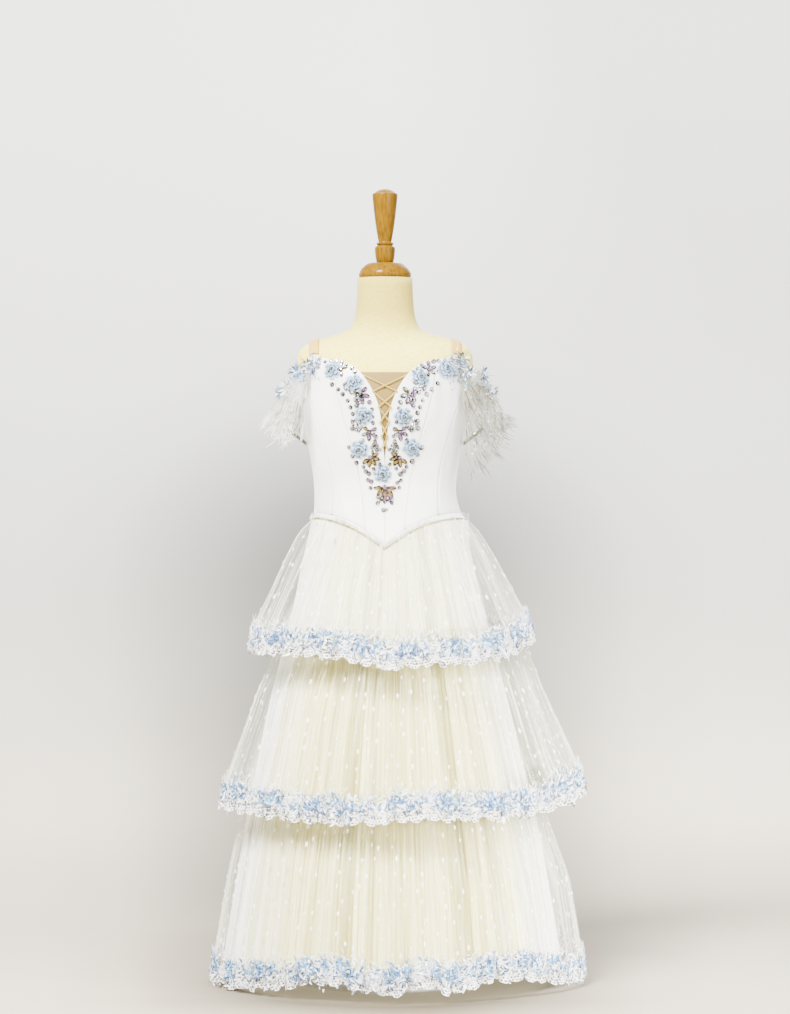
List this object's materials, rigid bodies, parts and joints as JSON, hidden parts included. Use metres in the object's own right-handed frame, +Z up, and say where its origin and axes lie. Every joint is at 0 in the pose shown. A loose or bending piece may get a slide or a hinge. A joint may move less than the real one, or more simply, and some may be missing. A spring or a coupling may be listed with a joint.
{
  "type": "ballet tutu on a dress form",
  "caption": "Romantic ballet tutu with a pointed satin bodice, laced plunge, net sleeves and three gathered net tiers edged with lace, on a limbless dress form and stand.",
  "frame": {"origin": "on the floor, at the centre of the underside of the stand's base", "axes": "+Z up the pole, -Y out of the front of the dress, +X to the wearer's left"},
  "size_m": [0.6087, 0.5236, 1.2653],
  "materials": {
    "satin": "near-white duchess satin, soft sheen",
    "net": "sheer ivory net with woven oval dots",
    "lining": "opaque ivory underskirt cloth",
    "blue_lace": "embroidered lace, cornflower blue and white",
    "rose_cloth": "pale blue gathered cloth roses",
    "skin_net": "nude stretch mesh",
    "cord": "pale gold twisted cord",
    "elastic": "peach and olive-gold elastic",
    "linen": "cream linen stretched over the form",
    "varnished_wood": "honey-gold turned wood, glossy varnish",
    "steel": "plain steel tube",
    "painted_base": "light grey painted base",
    "stone": "champagne cut stones"
  },
  "bodies": {
    "root": {"bodice_centre_front_L": "satin", "bodice_centre_front_R": "satin", "bodice_side_front_L": "satin", "bodice_side_front_R": "satin", "bodice_side_L": "satin", "bodice_side_R": "satin", "bodice_side_back_L": "satin", "bodice_side_back_R": "satin", "bodice_centre_back_L": "satin", "bodice_centre_back_R": "satin", "plunge_insert": "skin_net", "lacing_L": "cord", "lacing_R": "cord", "strap_L": "elastic", "strap_R": "elastic", "waist_band": "satin", "sleeve_ruffle_L": "net", "sleeve_lace_L": "blue_lace", "sleeve_band_L": "elastic", "sleeve_ruffle_R": "net", "sleeve_lace_R": "blue_lace", "sleeve_band_R": "elastic", "underskirt_front": "lining", "underskirt_back": "lining", "tier_net_1_front": "net", "tier_net_1_back": "net", "tier_lace_1": "blue_lace", "tier_net_2_front": "net", "tier_net_2_back": "net", "tier_lace_2": "blue_lace", "tier_net_3_front": "net", "tier_net_3_back": "net", "tier_lace_3": "blue_lace", "rose_1": "rose_cloth", "rose_2": "rose_cloth", "rose_3": "rose_cloth", "rose_4": "rose_cloth", "rose_5": "rose_cloth", "rose_6": "rose_cloth", "rose_7": "rose_cloth", "rose_8": "rose_cloth", "rose_9": "rose_cloth", "drop_stone_1": "stone", "drop_stone_2": "stone", "drop_stone_3": "stone", "drop_stone_4": "stone", "drop_stone_5": "stone", "drop_stone_6": "stone", "form_torso": "linen", "form_neck_cap": "varnished_wood", "form_finial": "varnished_wood", "form_pole": "steel", "form_base": "painted_base"}
  },
  "joints": []
}
